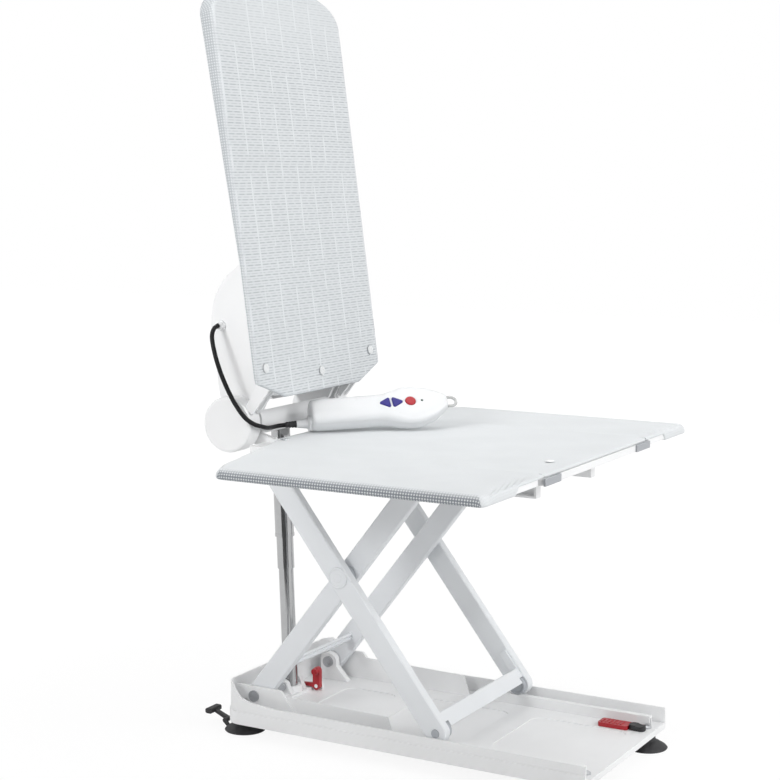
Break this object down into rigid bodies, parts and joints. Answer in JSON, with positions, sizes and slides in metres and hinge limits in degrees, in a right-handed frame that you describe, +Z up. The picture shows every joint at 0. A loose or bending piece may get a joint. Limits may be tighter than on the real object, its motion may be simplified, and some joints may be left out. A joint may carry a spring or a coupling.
{
  "type": "bath lift",
  "caption": "Battery bath lift: tray on suction cups, scissor frame, seat with folding side flaps, reclining covered backrest and corded handset.",
  "frame": {"origin": "on the bath floor under the middle of the lift's length and width", "axes": "+Z up, front towards -Y, user's left towards +X"},
  "size_m": [0.709, 0.6524, 1.1003],
  "materials": {
    "white_plastic": "satin moulded",
    "arm_paint": "satin powder coat",
    "cover_fabric": "ribbed knit",
    "chrome_tube": "polished",
    "steel_pin": "turned",
    "nylon": "smooth",
    "black_rubber": "matt",
    "red_plastic": "gloss",
    "blue_rubber": "matt",
    "handset_plastic": "semi-gloss"
  },
  "bodies": {
    "base": {"base_tray": "white_plastic", "roller_track_left": "white_plastic", "roller_track_right": "white_plastic", "suction_cups": "black_rubber", "cup_studs": "steel_pin", "rear_pivot_pins": "steel_pin", "column_foot": "white_plastic", "column_foot_pin": "steel_pin", "column_tube_lower": "chrome_tube", "lift_spindle": "steel_pin"},
    "inner_arms": {"inner_arm_left": "arm_paint", "inner_arm_right": "arm_paint", "inner_cross_plate": "arm_paint", "upper_glides": "nylon"},
    "outer_arms": {"outer_arm_left": "arm_paint", "outer_arm_right": "arm_paint", "front_cross_board": "arm_paint", "centre_pivot_pins": "steel_pin", "centre_bushes": "nylon", "centre_caps": "white_plastic", "lower_glides": "nylon"},
    "seat": {"seat_moulding": "white_plastic", "seat_channels": "white_plastic", "seat_brackets": "white_plastic", "seat_pivot_pins": "steel_pin", "recline_brackets": "white_plastic", "flap_hinge_rods": "steel_pin", "seat_cover": "cover_fabric", "cover_clips": "white_plastic", "handset_top": "handset_plastic", "handset_bottom": "handset_plastic", "handset_loop": "handset_plastic", "handset_neck": "handset_plastic", "strain_relief": "black_rubber", "handset_cord": "black_rubber"},
    "backrest": {"backrest_board": "white_plastic", "backrest_cover": "cover_fabric", "cover_snaps": "white_plastic", "rear_housing": "white_plastic", "hub_discs": "white_plastic", "recline_pins": "steel_pin", "drive_motor": "steel_pin", "drive_gearbox": "nylon", "cord_gland": "white_plastic"},
    "flap_left": {"flap_left": "white_plastic", "flap_cover_left": "cover_fabric", "flap_knobs_left": "nylon"},
    "flap_right": {"flap_right": "white_plastic", "flap_cover_right": "cover_fabric", "flap_knobs_right": "nylon"},
    "column_middle": {"column_tube_middle": "chrome_tube"},
    "column_upper": {"column_tube_upper": "chrome_tube"},
    "column_latch": {"column_latch": "red_plastic"},
    "front_release": {"front_release_slider": "red_plastic", "front_release_pad": "black_rubber"},
    "release_tab_left": {"release_tab_left": "black_rubber"},
    "release_tab_right": {"release_tab_right": "black_rubber"},
    "button_up": {"button_up": "blue_rubber"},
    "button_down": {"button_down": "blue_rubber"},
    "button_stop": {"button_stop": "red_plastic"}
  },
  "joints": [
    {"name": "seat_lift", "type": "hinge", "parent": "base", "child": "inner_arms", "pos_m": [0, 0.23425, 0.058], "axis": [-1, 0, 0], "range_deg": [-50, 0]},
    {"name": "scissor_crossing", "type": "hinge", "parent": "inner_arms", "child": "outer_arms", "pos_m": [0, 0.07621, 0.26028], "axis": [-1, 0, 0], "range_deg": [0, 100]},
    {"name": "seat_level", "type": "hinge", "parent": "outer_arms", "child": "seat", "pos_m": [0, 0.19473, 0.41197], "axis": [-1, 0, 0], "range_deg": [-50, 0]},
    {"name": "backrest_recline", "type": "hinge", "parent": "seat", "child": "backrest", "pos_m": [0, 0.26772, 0.46497], "axis": [1, 0, 0], "range_deg": [-30, 0]},
    {"name": "flap_left_fold", "type": "hinge", "parent": "seat", "child": "flap_left", "pos_m": [0.187, -0.05928, 0.43497], "axis": [0, -1, 0], "range_deg": [0, 85]},
    {"name": "flap_right_fold", "type": "hinge", "parent": "seat", "child": "flap_right", "pos_m": [-0.187, -0.05928, 0.43497], "axis": [0, 1, 0], "range_deg": [0, 85]},
    {"name": "column_middle_slide", "type": "slide", "parent": "base", "child": "column_middle", "axis": [0, 0.041, 0.9992], "range_m": [-0.11, 0]},
    {"name": "column_upper_slide", "type": "slide", "parent": "base", "child": "column_upper", "axis": [0, 0.041, 0.9992], "range_m": [-0.22, 0]},
    {"name": "column_latch_turn", "type": "hinge", "parent": "base", "child": "column_latch", "pos_m": [0, 0.21875, 0.036], "axis": [1, 0, 0], "range_deg": [0, 40]},
    {"name": "front_release_slide", "type": "slide", "parent": "base", "child": "front_release", "axis": [0, -1, 0], "range_m": [-0.012, 0]},
    {"name": "release_tab_left_lift", "type": "hinge", "parent": "base", "child": "release_tab_left", "pos_m": [0, 0.29275, 0.009], "axis": [1, 0, 0], "range_deg": [0, 40]},
    {"name": "release_tab_right_lift", "type": "hinge", "parent": "base", "child": "release_tab_right", "pos_m": [0, 0.29275, 0.009], "axis": [1, 0, 0], "range_deg": [0, 40]},
    {"name": "button_up_press", "type": "slide", "parent": "seat", "child": "button_up", "axis": [0.4965, 0.4495, -0.7426], "range_m": [0, 0.0015], "stiffness_N_per_m": 400},
    {"name": "button_down_press", "type": "slide", "parent": "seat", "child": "button_down", "axis": [0.4965, 0.4495, -0.7426], "range_m": [0, 0.0015], "stiffness_N_per_m": 400},
    {"name": "button_stop_press", "type": "slide", "parent": "seat", "child": "button_stop", "axis": [0.4965, 0.4495, -0.7426], "range_m": [0, 0.0015], "stiffness_N_per_m": 400}
  ],
  "couplings": [
    {"joint": "scissor_crossing", "follows": "seat_lift", "ratio": -2},
    {"joint": "seat_level", "follows": "seat_lift", "ratio": 1},
    {"joint": "column_middle_slide", "follows": "seat_lift", "m_per_rad": 0.12605},
    {"joint": "column_upper_slide", "follows": "seat_lift", "m_per_rad": 0.2521}
  ]
}
